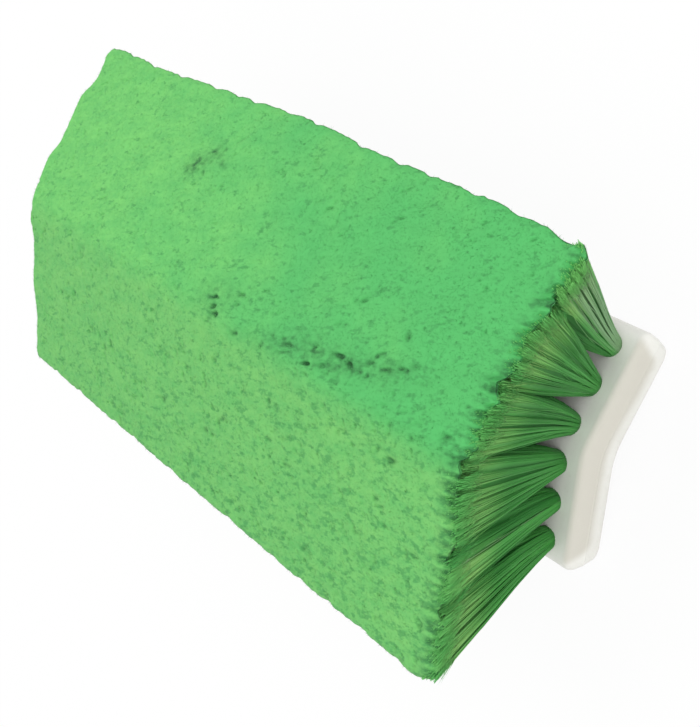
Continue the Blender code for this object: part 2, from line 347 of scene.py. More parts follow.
# The pole socket: a round boss in the hollow of the back, with a wide trapezoid thread moulded into it.
# Its rim is bevelled and stays a millimetre clear of the ground.
SOCKET_SQUARE = 24 * MM
BOSS_RADIUS = 18.6 * MM
BOSS_FILLET = 2 * MM
FILLET_DROP = 0.6
RIM_Z = 1 * MM
RIM_ROUND = 0.9 * MM
BORE_RADIUS = 9.6 * MM
MOUTH_BEVEL = 1.6 * MM
MOUTH_EASE = 0.2 * MM
BORE_TOP = 18.4 * MM
RING_STEP = 0.3 * MM
THREAD_PITCH = 5.1 * MM
THREAD_DEPTH = 1.1 * MM
THREAD_FADE = 3 * MM
# Half the groove's width and the width of its flank, as shares of the pitch.
GROOVE_HALF = 0.33
GROOVE_FLANK = 0.14


def ramp(value, low=0.0, high=1.0):
    """0 at low and 1 at high, straight between them and level beyond them."""
    return np.clip((value - low) / (high - low), 0, 1)


def fan_triangles(ring, pole):
    """Triangles from each two neighbours of a closed ring of points to one more point, the pole."""
    return np.stack([ring, np.roll(ring, -1), np.full(len(ring), pole)], axis=1)


def socket_surface(square, back):
    """Rings of points from the square opening inwards: over the back to the boss, down its wall, across the
    rim and up the bore, where a groove follows a helix, one pitch higher for each turn, and a middle point
    under the roof."""
    angle = np.arctan2(square[:, 1], square[:, 0])
    around = np.stack([np.cos(angle), np.sin(angle)], axis=1)
    rings = [square]
    for share in (0.3, 0.6, 0.8, 1):
        flat = (1 - share) * square[:, :2] + share * (BOSS_RADIUS + BOSS_FILLET) * around
        rings.append(np.column_stack([flat, np.interp(flat[:, 1], *back)]))
    for turn in np.radians([30, 60, 90]):
        flat = (BOSS_RADIUS + BOSS_FILLET * (1 - math.sin(turn))) * around
        drop = FILLET_DROP * BOSS_FILLET * (1 - math.cos(turn))
        rings.append(np.column_stack([flat, np.interp(flat[:, 1], *back) - drop]))

    def level(radius, height):
        rings.append(np.column_stack([radius * around, np.full(len(around), height)]))

    for turn in np.radians([0, 30, 60, 90]):
        level(BOSS_RADIUS - RIM_ROUND * (1 - math.cos(turn)), RIM_Z + RIM_ROUND * (1 - math.sin(turn)))
    mouth = BORE_RADIUS + MOUTH_BEVEL
    level(mouth + RIM_ROUND, RIM_Z)
    level(mouth + MOUTH_EASE, RIM_Z)
    level(mouth - MOUTH_EASE / 2, RIM_Z + MOUTH_EASE)
    for height in np.arange(RIM_Z + MOUTH_BEVEL, BORE_TOP, RING_STEP):
        place = (height / THREAD_PITCH - angle / (2 * np.pi)) % 1
        groove = ramp(GROOVE_HALF - np.abs(place - 0.5), 0, GROOVE_FLANK)
        fade = ramp(BORE_TOP - height, 0, THREAD_FADE)
        level((BORE_RADIUS + THREAD_DEPTH * groove * fade)[:, None], height)
    roof = BORE_TOP + 0.1 * MM
    level(BORE_RADIUS - RIM_ROUND, roof)
    points = np.concatenate([*rings, [[0, 0, roof]]])
    columns = len(square)
    last = (len(rings) - 1) * columns + np.arange(columns)
    faces = [grid_triangles(len(rings), columns, wrap=True), fan_triangles(last, len(points) - 1)]
    return points, np.concatenate(faces)


def make_block():
    """The moulded body and its socket as one piece, welded where the two meet."""
    body, square, back = back_surface()
    points, triangles = joined([body, socket_surface(square, back)])
    block = make_piece("block", points, triangles, foam_plastic())
    form = bmesh.new()
    form.from_mesh(block.data)
    bmesh.ops.remove_doubles(form, verts=form.verts, dist=0.001 * MM)
    bmesh.ops.recalc_face_normals(form, faces=form.faces)
    form.to_mesh(block.data)
    form.free()
    block.data.set_sharp_from_angle(angle=math.radians(40))
    return block


block = make_block()
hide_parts("brush_block")
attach(block, "root")


# The holes: one for each tuft, drilled square to the wing. The drill leaves a low rounded burr of plastic
# round each mouth. Two tufts are left out over the socket.
COLUMNS = 17
END_MARGIN = 11 * MM
SIDE_MARGIN = 9.9 * MM
HOLE_RADIUS = 3.5 * MM
BURR_WIDTH = 0.35 * MM
BURR_HEIGHT = 0.14 * MM
BURR_OFFSET = 0.6
ROW_PITCH = (HALF_WIDTH / COS - SIDE_MARGIN) / 2.5
COLUMN_PITCH = (2 * HALF_LENGTH - 2 * END_MARGIN) / (COLUMNS - 1)
RANKS = (2, 1, 0, 0, 1, 2)
SIDES = (1, 1, 1, -1, -1, -1)


def on_wing(side, along, height):
    """(y, z) so far along a wing's face from the ridge, and so high above it."""
    return side * (along * COS + height * SIN), RIDGE - along * SIN + height * COS


def columns_of(row):
    """The places of a row's tufts along X."""
    x = (np.arange(COLUMNS) - COLUMNS // 2) * COLUMN_PITCH
    return x[np.abs(x) > COLUMN_PITCH / 2] if RANKS[row] == 0 else x


def burrs():
    """A ring for each hole: a flat ellipse carried round the mouth, with its lower half under the face."""
    profile = np.linspace(0, 2 * np.pi, 8, endpoint=False)
    turn = np.linspace(0, 2 * np.pi, 20, endpoint=False)[:, None]
    radius = HOLE_RADIUS + BURR_WIDTH * (BURR_OFFSET + np.cos(profile))[None]
    height = BURR_HEIGHT * np.sin(profile)[None] + 0 * turn
    parts = []
    for row, (rank, side) in enumerate(zip(RANKS, SIDES)):
        y, z = on_wing(side, (rank + 0.5) * ROW_PITCH + radius * np.sin(turn), height)
        for centre in columns_of(row):
            points = np.stack([centre + radius * np.cos(turn), y, z], axis=-1).reshape(-1, 3)
            faces = grid_triangles(len(turn) + 1, len(profile), wrap=True) % len(points)
            parts.append((points, faces if side < 0 else faces[:, ::-1]))
    return joined(parts)


rims = make_piece("hole_rims", *burrs(), block.data.materials[0])
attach(rims, "root")


# The tufts: fibres of green plastic, folded over a wire in the hole and fanned out by the pull of the
# trimming. Each fan fills its own cell of the trimmed face, and leans out at the sides and the ends. The far
# end bulges in its middle, and the near end, which leads in use, is worn back.
TRIM_LENGTH = 66 * MM
TRIM_HALF_WIDTH = HALF_WIDTH + 25 * MM
FLARE_POWER = 4
# How far the tips reach, as pairs in millimetres: X for a Y across each end, and Y for an X along each side.
END_REACH = {
    -1: (
        (-70, 142.4), (-65, 145), (-50, 145), (-35, 148), (-26, 147.6), (-17, 148), (-9, 151), (0, 150),
        (8, 151.5), (17, 152.2), (27, 149), (36, 149.3), (45, 150), (56, 144.5), (65, 145.5), (70, 142.5),
    ),
    1: ((-70, 141), (0, 142), (40, 142), (53, 145.5), (64, 147), (70, 145)),
}
SIDE_REACH = {
    -1: ((-148, 69.6), (-100, 70.4), (-64, 71), (0, 72.1), (74, 72.9), (97, 72.4), (129, 73), (142, 71)),
    1: (
        (-148, 70.5), (-130, 71.4), (-100, 70.4), (-50, 71.7), (5, 72.9), (55, 70.8), (100, 70.6), (127, 69.2),
        (137.5, 67), (141.5, 69.4), (147, 67.2),
    ),
}
LAST_X = COLUMNS / 2 * COLUMN_PITCH
WING_REACH = 3 * ROW_PITCH
TIP_RIDGE = RIDGE + TRIM_LENGTH / COS
# The rim dips where one tuft, or a pair that has grown together, meets the next, and most between the rows of
# the worn near end. The notches are the middles of these dips, along a side and across the near end.
NOTCH_WIDTH = 2.4 * MM
SIDE_DEPTH = 0.65 * MM
NEAR_DEPTH = 2.4 * MM
SIDE_NOTCHES = {
    1: MM * np.array([-125, -106, -84, -58, -42.5, -30, -9, 9, 36.5, 57.5, 73, 95, 115]),
    -1: MM * np.array([-124, -101, -68, -52, -22, -8, 21, 51, 68, 85, 103, 122]),
}
# At the near end some of the gaps between the rows have shifted: how far out along the wing in millimetres, for
# the gap on the inner side of each of its three rows, and for its rim.
NEAR_SHIFTS = {1: (0, 0.7, 4, 0), -1: (0, 3.5, 0, 0)}
NEAR_GAPS = [side * (k * ROW_PITCH + MM * NEAR_SHIFTS[side][k]) for side in (1, -1) for k in range(3)]
NEAR_NOTCHES = np.array(NEAR_GAPS) * TRIM_HALF_WIDTH / WING_REACH
BUNDLE_RADIUS = 3.6 * MM
ROOT_DEPTH = 1.2 * MM
SQUARE_START = 0.4
INNER_OPENING = 2.0
RIM_OPENING = 1.15
FIBRE_RADIUS = 0.21 * MM
FIBRE_TAPER = 0.3
NEAR_FIBRES, END_FIBRES, SIDE_FIBRES, INNER_FIBRES = 1150, 420, 230, 72
LEVELS = np.array([0, 0.06, 0.16, 0.34, 0.62, 1])
INNER_LEVELS = np.array([0, 0.15, 0.5, 1])
SHELL = 0.2
NEAR_CROWD = 0.55
INSIDE_SHARE = 0.5
DRIFT = 0.03
WAVER = 0.02
STRAY_SHARE = 0.05
STRAY_DRIFT = 0.45
STRAY_WAVER = 0.05
LOCKS = 26
NEAR_LOCKS = 22
LOCK_HALF = 0.13
CLUMP_LEVELS = (0, 0.12, 0.45, 0.85, 1)
CLUMP_PULL = (0, 0.3, 0.55, 0.55, 0.45)
CORE_LEVELS = np.array([0, 0.06, 0.14, 0.28, 0.5, 0.72, 0.88])
CORE_COLUMNS = 96
CORE_WIDTH = 0.8
FLUTE_DEPTH = 0.1
FLUTE_START = 0.15
UNDER_FELT = 1.7 * MM
SHORT_LOSS = 1.5 * MM
NEAR_LOSS = 4 * MM
GAP_LOSS = 6 * MM
# The colours of a dark and a light tone, and what adds to the tone of a lock, a fibre or the core.
FIBRE_ROOT = ((0.14, 0.45, 0.15), (0.31, 0.65, 0.29))
FIBRE_FRAYED = ((0.28, 0.58, 0.27), (0.56, 0.76, 0.43))
FIBRE_SPLIT = ((0.32, 0.68, 0.34), (0.48, 0.79, 0.43))
# A pale greyish green for light strays, and the painted sheen of the corner tuft at +Y.
FIBRE_PALE_AND_PAINTED_SHEEN = (0.50, 0.65, 0.47)
SPLIT_RISE = 0.84
TONE_STEP = 0.16
LOCK_TONE = 0.8
FIBRE_TONE = 0.5
STRAY_TONE = 1.6
# Painted shade where the tufts of an end face their neighbours, and a painted sheen on the outer side of the corner
# tuft at +Y.
PAINTED_FACING_SHADE = -1.5
PAINTED_SHEEN_TONE = 8
# Painted shade: the core is darker, and darker still in the flutes between its ribs.
CORE_PAINTED_SHADE = -0.6
FLUTE_PAINTED_SHADE = -1.6


def eased(place, pairs):
    """A value between the pairs of a short list: each gives way to the next by a smooth step."""
    places, values = MM * np.array(pairs, float).T
    k = np.clip(np.searchsorted(places, place) - 1, 0, len(places) - 2)
    u = ramp(place, places[k], places[k + 1])
    return values[k] + (values[k + 1] - values[k]) * u * u * (3 - 2 * u)


def trimmed(side, along, x):
    """Where a fibre that would leave the face at this place is trimmed. Across the brush the tips spread
    evenly out to the reach of that side. Along it they lean out by the fourth power of their distance from
    the middle, up to the reach of that end."""
    across = side * along / WING_REACH
    far, near = (eased(across * TRIM_HALF_WIDTH, END_REACH[sign]) for sign in (-1, 1))
    reach = np.where(x < 0, far, near)
    out = x + np.sign(x) * (reach - LAST_X) * (np.abs(x) / LAST_X) ** FLARE_POWER
    y = across * eased(out, SIDE_REACH[side])
    return np.stack([out, y, TIP_RIDGE - np.abs(y) * TAN], axis=-1)


def notch(place, middles, depth):
    """How far a rim is drawn in: the nearest of the dips, each falling off as a bell curve."""
    away = np.abs(place[..., None] - middles).min(axis=-1)
    return depth * np.exp(-((away / NOTCH_WIDTH) ** 2))


class Tuft:
    """One tuft: its hole, the stretch of the row that its cell covers, and the directions round it where its
    fibres stick together in locks."""

    def __init__(self, row, x, neighbours, chance):
        self.row, self.x = row, x
        self.side, self.rank = SIDES[row], RANKS[row]
        self.along = (self.rank + 0.5) * ROW_PITCH
        before, after = neighbours[neighbours < x], neighbours[neighbours > x]
        self.low = (x + before.max()) / 2 if len(before) else x - COLUMN_PITCH / 2
        self.high = (x + after.min()) / 2 if len(after) else x + COLUMN_PITCH / 2
        self.last = not len(after)
        self.end = self.last or not len(before)
        self.outer = self.rank == 2 or self.end
        count = NEAR_LOCKS if self.last else LOCKS
        self.locks = (np.arange(count) + chance.random(count)) / count * 2 * np.pi
        self.lock_tones = LOCK_TONE * chance.normal(0, 1, count)

    def lock_at(self, turn):
        """The turn from each direction to the lock nearest to it, and that lock's tone."""
        turns = (self.locks - turn[:, None] + np.pi) % (2 * np.pi) - np.pi
        nearest = np.abs(turns).argmin(axis=1)
        return turns[np.arange(len(turn)), nearest], self.lock_tones[nearest]

    def tip(self, a, b):
        """The trimmed place of a and b, each from -1 to 1: along the row, and away from the ridge. At the rim of
        the brush it is drawn in by the notches there, in proportion to the square of a or b. At the near end
        it shifts with the gaps on both sides of it."""
        x = (self.low + self.high) / 2 + a * (self.high - self.low) / 2
        along = self.along + b * ROW_PITCH / 2
        if self.last:
            inner, outer = NEAR_SHIFTS[self.side][self.rank : self.rank + 2]
            shift = MM * (inner * (1 - b) + outer * (1 + b)) / 2
            along = along + shift * ramp(a, -1) ** 2
        place = trimmed(self.side, along, x)
        if self.rank == 2:
            place[..., 1] -= self.side * notch(place[..., 0], SIDE_NOTCHES[self.side], SIDE_DEPTH) * ramp(b) ** 2
        if self.last:
            place[..., 0] -= notch(place[..., 1], NEAR_NOTCHES, NEAR_DEPTH) * ramp(a) ** 2
        return place

    def fan(self, a, b, t):
        """The fibre of a and b at t, from 0 in the hole to 1 at the trim. The middle of the tuft is a Bezier
        curve that leaves the hole nearly square to the wing. A fibre's distance from it grows from a disk over
        the hole to a place in the cell, as 1 - (1 - t) ^ p. The power p is high between neighbours, so that the
        tuft opens at once and leans on them, and low at the rim of the brush, whose sides are straight."""
        foot = np.array([self.x, *on_wing(self.side, self.along, -ROOT_DEPTH)])
        middle = self.tip(np.zeros(1), np.zeros(1))[0]
        square = np.array([0, self.side * SIN, COS]) * np.linalg.norm(middle - foot)
        start = foot + (square * SQUARE_START + (middle - foot) * (1 - SQUARE_START)) / 3
        bend = foot + (middle - foot) * 2 / 3
        outward = ramp(b) if self.rank == 2 else 0 * b
        if self.end:
            outward = np.maximum(outward, ramp(a if self.last else -a))
        opened = 1 - ramp(1 - t) ** (INNER_OPENING + (RIM_OPENING - INNER_OPENING) * outward)
        disk_x = BUNDLE_RADIUS * a * np.sqrt(1 - b * b / 2)
        disk_v = BUNDLE_RADIUS * b * np.sqrt(1 - a * a / 2)
        disk = np.stack([disk_x, self.side * COS * disk_v, -SIN * disk_v], axis=-1)
        t, opened = t[..., None], opened[..., None]
        line = (1 - t) ** 3 * foot + 3 * t * (1 - t) ** 2 * start + 3 * t * t * (1 - t) * bend + t**3 * middle
        return line + disk * (1 - opened) + (self.tip(a, b) - middle) * opened


def tip_loss(tuft, a, b, luck):
    """How far a shaft ends below the trim. The shafts end under the felt, and a few are short. The near end of
    the brush is worn down outwards from there, least at its corners, and gaps open there between the tufts."""
    loss = UNDER_FELT + SHORT_LOSS * luck**3
    if tuft.last:
        corner = np.abs(tuft.along + b * ROW_PITCH / 2) / WING_REACH
        worn = ramp(a, 0.3) ** 1.2 * (1 - 0.6 * corner**3) * (0.3 + 0.9 * luck)
        between = ramp(np.abs(b), 0.7) * (corner < 0.95)
        loss = loss - UNDER_FELT * ramp(a, 0.15, 0.55) + NEAR_LOSS * worn + GAP_LOSS * between * ramp(a, 0.2, 0.7)
    return loss


def on_rim(turn, out):
    """The a and b of a direction round a tuft, on the outline of a square that is so far out."""
    scale = out / np.maximum(np.abs(np.cos(turn)), np.abs(np.sin(turn)))
    return np.cos(turn) * scale, np.sin(turn) * scale


def tuft_fibres(tuft, chance):
    """The fibres on the outside of a tuft as (paths, radii, rise, tone). Each starts in its own direction, and
    leans towards its lock through the middle of its length. A few are strays, which wander further round. At
    the near end they crowd to the near side and half of them stand inside, where the worn tips are seen.
    Rise is the share of the way to the tip. Tone is the lightness of the fibre and its lock. It is lower, as painted
    shade, where a tuft of an end faces its neighbour, and higher towards the outer side of the corner tuft at +Y, as
    a painted sheen."""
    count = NEAR_FIBRES if tuft.last else END_FIBRES if tuft.end else SIDE_FIBRES if tuft.outer else INNER_FIBRES
    levels = LEVELS if tuft.outer else INNER_LEVELS
    turn = (np.arange(count) + chance.random(count)) / count * 2 * np.pi
    out = 1 - SHELL * chance.random(count) ** 1.3
    if tuft.last:
        turn = turn - NEAR_CROWD * np.sin(turn)
        out = np.where(chance.random(count) < INSIDE_SHARE, chance.uniform(0.25, 1, count), out)
    to_lock, lock_tone = tuft.lock_at(turn)
    stray = chance.random(count) < STRAY_SHARE
    drift = chance.normal(0, DRIFT, count) + stray * chance.normal(0, STRAY_DRIFT, count)
    pull = np.interp(levels, CLUMP_LEVELS, CLUMP_PULL)[None]
    turns = turn[:, None] + to_lock[:, None] * pull + drift[:, None] * levels
    waver = chance.normal(0, WAVER, count) - STRAY_WAVER * stray
    a, b = on_rim(turns, ramp(out[:, None] + waver[:, None] * np.sin(np.pi * levels)))
    length = 1 - tip_loss(tuft, a[:, -1], b[:, -1], chance.random(count)) / TRIM_LENGTH
    rise = levels[None] * length[:, None]
    tone = lock_tone + FIBRE_TONE * chance.normal(0, 1, count) + STRAY_TONE * stray
    # Painted shade where an end tuft faces its neighbour, and a painted sheen on the corner tuft at +Y.
    if tuft.end:
        tone = tone + PAINTED_FACING_SHADE * ramp(np.abs(b[:, -1]), 0.7) * (tuft.rank < 2)
    if tuft.last and tuft.row == 0:
        tone = tone + PAINTED_SHEEN_TONE * ramp(b[:, -1], -1, 0.2)
    return tuft.fan(a, b, rise), FIBRE_RADIUS * (1 - FIBRE_TAPER * rise), rise, tone[:, None] + 0 * rise


def fibres(path, radius, rise, tone, spin):
    """Closed three-sided fibres along paths of (fibre, ring, 3): a triangle of this radius about each point,
    level with the ground, and a face across each end. Returns points, triangles, rise and tone."""
    count, rings = path.shape[:2]
    turn = spin[:, None, None] + np.arange(3) * 2 * np.pi / 3
    around = np.stack([np.cos(turn), np.sin(turn), 0 * turn], axis=-1)
    points = path[:, :, None] + radius[..., None, None] * around
    last = 3 * (rings - 1)
    one = np.concatenate([grid_triangles(rings, 3, wrap=True), [[0, 2, 1], [last, last + 1, last + 2]]])
    faces = one[None] + 3 * rings * np.arange(count)[:, None, None]
    return points.reshape(-1, 3), faces.reshape(-1, 3), np.repeat(rise.ravel(), 3), np.repeat(tone.ravel(), 3)


def tuft_core(tuft):
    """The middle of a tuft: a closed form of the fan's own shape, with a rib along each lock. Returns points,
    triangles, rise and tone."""
    turn = np.linspace(0, 2 * np.pi, CORE_COLUMNS if tuft.outer else CORE_COLUMNS // 4, endpoint=False)
    to_lock, lock_tone = tuft.lock_at(turn)
    rib = 1 - ramp(np.abs(to_lock) / LOCK_HALF) ** 2
    levels = CORE_LEVELS[:, None]
    a, b = on_rim(turn[None], CORE_WIDTH + FLUTE_DEPTH * rib * ramp(levels, 0, FLUTE_START))
    t = levels * (1 - tip_loss(tuft, a, b, 0.5) / TRIM_LENGTH) + 0 * a
    rings = tuft.fan(a, b, t)
    points = np.concatenate([rings.reshape(-1, 3), rings[[0, -1]].mean(axis=1)])
    low = np.arange(turn.size)
    high = low + (len(levels) - 1) * turn.size
    bottom = fan_triangles(low, len(points) - 2)[:, [1, 0, 2]]
    top = fan_triangles(high, len(points) - 1)
    faces = np.concatenate([grid_triangles(len(levels), turn.size, wrap=True), bottom, top])
    rise = np.concatenate([t.ravel(), CORE_LEVELS[[0, -1]]])
    # Painted shade: the core is darker, most in the flutes between the ribs.
    tone = lock_tone + FLUTE_PAINTED_SHADE * (1 - rib) + CORE_PAINTED_SHADE + 0 * t
    return points, faces if tuft.side > 0 else faces[:, ::-1], rise, np.concatenate([tone.ravel(), [0, 0]])


def green_fibre():
    """Green fibre: deep and glossy at the root, paler and yellower as it frays towards the tip, and a pale greyish
    green where its tone is highest: on light strays, and as a painted sheen on the corner tuft at +Y."""
    finish = Finish("green fibre", IOR=1.5, Specular_IOR_Level=0.3)
    rise, tone = finish.attribute("rise"), finish.attribute("tone")
    light = (tone * TONE_STEP + 0.5).between(0, 1)
    root, frayed, split = (finish.mix(light, *pair) for pair in (FIBRE_ROOT, FIBRE_FRAYED, FIBRE_SPLIT))
    colour = finish.mix(rise.between(0.5, 0.85), root, frayed)
    colour = finish.mix(tone.between(1.6, 4.2) * 0.85, colour, FIBRE_PALE_AND_PAINTED_SHEEN)
    finish.feed("Base Color", finish.mix(rise.between(SPLIT_RISE, 0.96), colour, split))
    finish.feed("Roughness", 0.5 + rise * 0.2)
    return finish.material


# The felt: the fibres are flagged at the trim, split by a blade into far finer hairs, and these mat into one
# soft face. It is a thin mat for each row, with pits, dark partings over the socket and worn edges, and with
# loose hairs combed over it. The split ends of the outer tufts stand round it.
FELT_GRID = (580, 47)
FELT_DROP = 0.1 * MM
FELT_HALF_LENGTH = 145 * MM
WORN_BACK = 2.6 * MM
EDGE_INSET = 0.1 * MM
EDGE_ROUND = 2.2 * MM
EDGE_FALL = 1.3 * MM
CORNER_ROUND = 4 * MM
NEAR_ROUND = 4 * MM
NEAR_FALL = 3 * MM
NEAR_FRAY = 8 * MM
RIDGE_SOFT = 2.5 * MM
# How ragged the mat's borders are: the depth and the size of their rags.
NEAR_RAGS = ((3 * MM, 5 * MM), (1.6 * MM, 1.4 * MM))
FAR_RAGS = (0.4 * MM, 2.4 * MM)
SIDE_RAGS = (0.4 * MM, 2.2 * MM)
COMB = math.radians(18)
COMB_WANDER = 4 * MM
COMB_BEND = 30 * MM
# The lumps of the mat: depth and size in millimetres, and how far they are drawn out along the lie.
LUMPS = ((0.07, 0.8, 1.6), (0.2, 2.3, 1.4))
SWELL_DEPTH = 0.5 * MM
SWELL_SIZE = 9 * MM
PIT_SIZE = 1.9 * MM
PIT_STRETCH = 1.7
PIT_DEPTH = 0.8 * MM
PIT_RARITY = 0.76
# The depth of a pit at which its painted shade is full.
PAINTED_SHADE_DEPTH = 2.2 * MM
SKIRT = ((0.5 * MM, 0.7 * MM), (1.2 * MM, 1.5 * MM), (2.4 * MM, 2.4 * MM), (4.2 * MM, 3.2 * MM))
# The drop down the skirt over which it darkens fully, as painted shade.
SKIRT_PAINTED_SHADE_DROP = 8 * MM
# The partings and the spots where the hairs are thin: x, y, half length and half width in millimetres, then the
# depth in millimetres or the darkness, and the turn from X in degrees. A parting's depth also darkens it as painted
# shade, and a thin spot's darkness is painted shade.
PARTINGS = (
    (4.8, -0.6, 1.7, 0.9, 2.5, 20), (3.2, 1.6, 1.6, 0.8, 2.1, 30), (1.7, 4.8, 2.0, 0.7, 1.7, 10),
    (15.5, 10.2, 2.4, 0.7, 1.3, 10), (18.8, -2.8, 3.0, 0.8, 1.3, 15), (48.8, 3.6, 2.4, 0.8, 1.2, 10),
    (62, 1.9, 3.4, 0.6, 1.2, 15), (62.7, 8, 2.6, 0.7, 1.0, 10), (70.4, 4.8, 2.0, 0.7, 1.2, 15),
    (74.5, 9.3, 2.6, 0.7, 1.8, 10), (80.3, 8.8, 1.5, 0.6, 1.8, 0), (84.5, 8.4, 2.6, 0.7, 1.8, 5),
    (97, 13, 2.2, 0.7, 1.4, 10), (103, 15.4, 2.0, 0.7, 1.5, 10), (108, 18, 2.4, 0.7, 1.1, 10),
    (73, 27.8, 2.4, 1.0, 0.9, 30), (98, 24.5, 1.6, 1.8, 1.0, 60), (68.9, 18.2, 2.2, 1.0, 1.0, 20),
    (4, -44.5, 3.5, 1.2, 1.0, 25), (15, -36, 4.0, 1.2, 1.0, 20), (-28, -45, 3.0, 1.2, 1.0, 20),
    (131, 5, 3.0, 1.4, 1.3, 20), (110, -11, 3.0, 1.3, 1.1, 20),
)
THIN_SPOTS = (
    (-48, 41, 5, 5, 0.36, 50), (-42, 46.5, 5.5, 4.5, 0.34, 45), (-35, 51, 5, 3.5, 0.3, 25),
    (-29, 47, 5, 2.5, 0.3, -15), (2, 5, 15, 7, 0.3, 10), (50, 4, 24, 6, 0.3, 15), (90, 11, 22, 5, 0.3, 15),
)
NAP_COUNT = 15000
NAP_RADIUS = 0.07 * MM
NAP_SINK = 0.12 * MM
NAP_LENGTHS = (0.6 * MM, 1.5 * MM)
NAP_TILTS = np.radians([4, 30])
NAP_BEND = 34 * MM
NAP_WANDER = 1.3
NAP_SPREAD = 0.8
NAP_RISE = 0.95
NAP_TONE = 0.35
FLAG_HAIRS = 4
FLAG_LENGTH = 10 * MM
FLAG_SPREAD = 0.9 * MM
FLAG_OUTWARD = 0.2 * MM
FLAG_RADIUS = 0.12 * MM
FELT_FRESH = (0.295, 0.70, 0.37)
# Paler and warmer towards the far end: partly faded, partly painted warm light.
FELT_FADED_AND_PAINTED_WARM = (0.44, 0.77, 0.395)
FELT_YELLOW = (0.44, 0.735, 0.385)
FELT_SHADE = (0.28, 0.65, 0.34)
FELT_SPECK = (0.20, 0.53, 0.27)
# The painted shade of the mat's pits, partings, thin spots, frayed near border and skirt.
FELT_PAINTED_SHADE = (0.12, 0.38, 0.18)
YELLOW_REACH = 14 * MM


def noise(x, y, size, seed):
    """Random values from 0 to 1, one for each corner of a square lattice of this size, blended by a smooth
    step between the four corners round a place."""
    x, y = x / size, y / size
    column, line = np.floor(x).astype(np.int64), np.floor(y).astype(np.int64)
    u, v = x - column, y - line
    u, v = u * u * (3 - 2 * u), v * v * (3 - 2 * v)

    def corner(across, up):
        mixed = (column + across) * 374761393 + (line + up) * 668265263 + seed * 1274126177
        mixed = (mixed ^ (mixed >> 13)) * 1103515245 & 0x7FFFFFFF
        return ((mixed ^ (mixed >> 16)) & 0xFFFF) / 65535

    low = corner(0, 0) * (1 - u) + corner(1, 0) * u
    high = corner(0, 1) * (1 - u) + corner(1, 1) * u
    return low * (1 - v) + high * v


def rags(place, depth, size, seed, middle=0.4):
    """How far a ragged border is drawn in at a place along it: noise about its middle."""
    return depth * (noise(place, 0 * place, size, seed) - middle)


def turned(x, y, angle):
    """A place in coordinates that are turned by this angle."""
    return x * math.cos(angle) + y * math.sin(angle), y * math.cos(angle) - x * math.sin(angle)


def combed(x, y):
    """The place in coordinates that run along and across the lie of the hairs. A soft wander bends them."""
    x = x + COMB_WANDER * noise(x, y, COMB_BEND, 5)
    y = y + COMB_WANDER * noise(x, y, COMB_BEND, 6)
    return turned(x, y, COMB)


def felt_lumps(x, y):
    """How deep the mat lies under the trim: soft lumps of two sizes along the lie, and a wide swell."""
    lie, cross = combed(x, y)
    lumps = [
        depth * noise(lie / stretch, cross, size * MM, seed)
        for seed, (depth, size, stretch) in enumerate(LUMPS, 1)
    ]
    return FELT_DROP + MM * sum(lumps) + SWELL_DEPTH * noise(x, y, SWELL_SIZE, 3)


def spots(x, y, places, evenness):
    """The sum of ragged spots, each of which fades as a bell curve, from a list of their places."""
    lie, cross = combed(x, y)
    ragged = evenness + (1.35 - evenness) * noise(lie / 1.6, cross, 1.1 * MM, 9)
    total = 0 * x
    for middle_x, middle_y, half_length, half_width, strength, turn in places:
        along, across = turned(x / MM - middle_x, y / MM - middle_y, math.radians(turn))
        total += strength * np.exp(-((along / half_length) ** 2) - (across / half_width) ** 2)
    return total * ragged


def felt_pits(x, y):
    """How much deeper the mat is in its pits and partings. Small pits lie where a noise peaks, more of them on
    the wing at -Y and towards the near end."""
    lie, cross = combed(x, y)
    peaks = 0.6 * noise(lie / PIT_STRETCH, cross, PIT_SIZE, 7) + 0.25 * noise(x, y, SWELL_SIZE, 8)
    peaks += 0.35 * noise(lie / PIT_STRETCH, cross, PIT_SIZE / 2, 4)
    rarity = PIT_RARITY + 0.05 * np.clip(y / (20 * MM), -0.5, 1) - 0.03 * x / FELT_HALF_LENGTH
    return PIT_DEPTH * ramp(peaks - rarity, 0, 0.3) ** 1.3 + MM * spots(x, y, PARTINGS, 0.15)


def trim_height(y):
    """The height of the trim at a distance across the brush. Its ridge is soft: the root of the sum of squares
    takes the place of the distance."""
    return TIP_RIDGE - TAN * (np.sqrt(y**2 + RIDGE_SOFT**2) - RIDGE_SOFT / 2)


def felt_places(row, p, q, inset=0.0):
    """Where the mat of a row lies for p along it and q away from the ridge, each from 0 to 1, with how far each
    place is from the rim and from the near border. At its outer borders the mat keeps this much further in."""
    side, rank = SIDES[row], RANKS[row]
    level = side * (rank + q) / 3 * TRIM_HALF_WIDTH
    ragged = rags(level, *NEAR_RAGS[0], 14, 0.5) + rags(level, *NEAR_RAGS[1], 11, 0.5)
    corner = CORNER_ROUND * ramp(np.abs(level), TRIM_HALF_WIDTH - CORNER_ROUND, TRIM_HALF_WIDTH) ** 3
    near = eased(level, END_REACH[1]) - WORN_BACK - notch(level, NEAR_NOTCHES, NEAR_DEPTH) - corner - ragged - inset
    far = eased(level, END_REACH[-1]) - EDGE_INSET - rags(level, *FAR_RAGS, 13) - inset
    x = near * p - far * (1 - p)
    full = eased(x, SIDE_REACH[side])
    low, high = full * rank / 3, full * (rank + 1) / 3
    away = x + far
    if rank == 2:
        high = high - EDGE_INSET - notch(x, SIDE_NOTCHES[side], SIDE_DEPTH) - rags(x, *SIDE_RAGS, 23 + row) - inset
        away = np.minimum(away, (high - low) * (1 - q))
    return x, side * (low + (high - low) * q), away, near - x


def felt_height(x, y, away, worn):
    """The mat's height: the trim less its depth, rounded off towards the rim, and sinking among the worn tips
    at the near end."""
    edge = EDGE_FALL * ramp(away, EDGE_ROUND, 0) ** 2
    sunk = NEAR_FALL * ramp(worn, NEAR_ROUND, 0) ** 2
    return trim_height(y) - felt_lumps(x, y) - felt_pits(x, y) - edge - sunk


def band(one, two):
    """Two triangles for each step along two lines of point numbers."""
    a, b, c, d = one[:-1], one[1:], two[1:], two[:-1]
    return np.stack([a, d, c, a, c, b], axis=-1).reshape(-1, 3)


